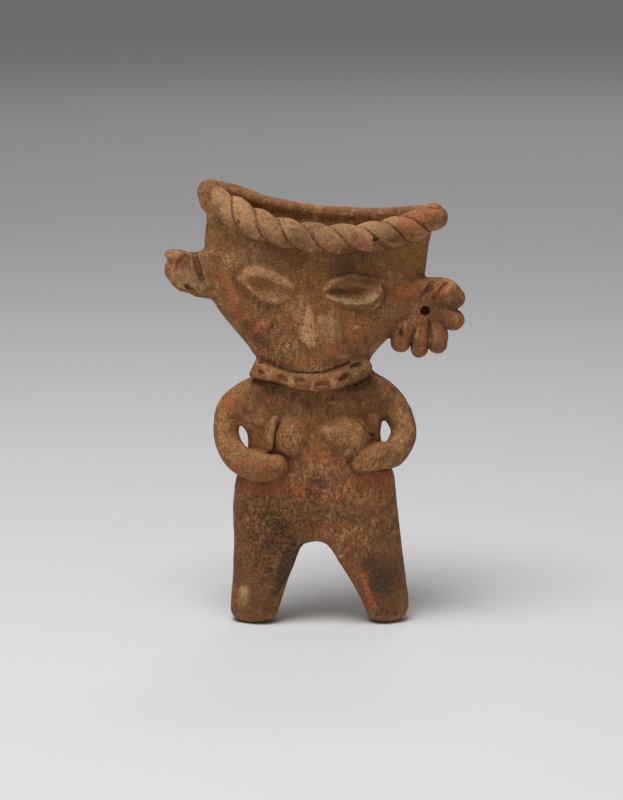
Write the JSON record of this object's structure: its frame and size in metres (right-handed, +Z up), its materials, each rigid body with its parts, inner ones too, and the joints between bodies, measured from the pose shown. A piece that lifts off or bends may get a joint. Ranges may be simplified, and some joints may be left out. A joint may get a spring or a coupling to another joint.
{
  "type": "standing figure",
  "caption": "Small hand-built fired-clay standing figure with a hollow flared headdress, twisted band on its rim, ear ornaments, and arms bent onto the belly.",
  "frame": {"origin": "middle of the figure's outline seen from above, on the surface its two soles stand on", "axes": "+Z up along the figure's height, +X to the right of someone facing the figure, and the figure faces -Y"},
  "size_m": [0.0676, 0.0218, 0.1014],
  "materials": {
    "fired_clay": "unglazed buff-brown clay, smoothed and semi-matte, with traces of red pigment, dark firing clouds and specks"
  },
  "bodies": {
    "root": {"clay_figure": "fired_clay"}
  },
  "joints": []
}
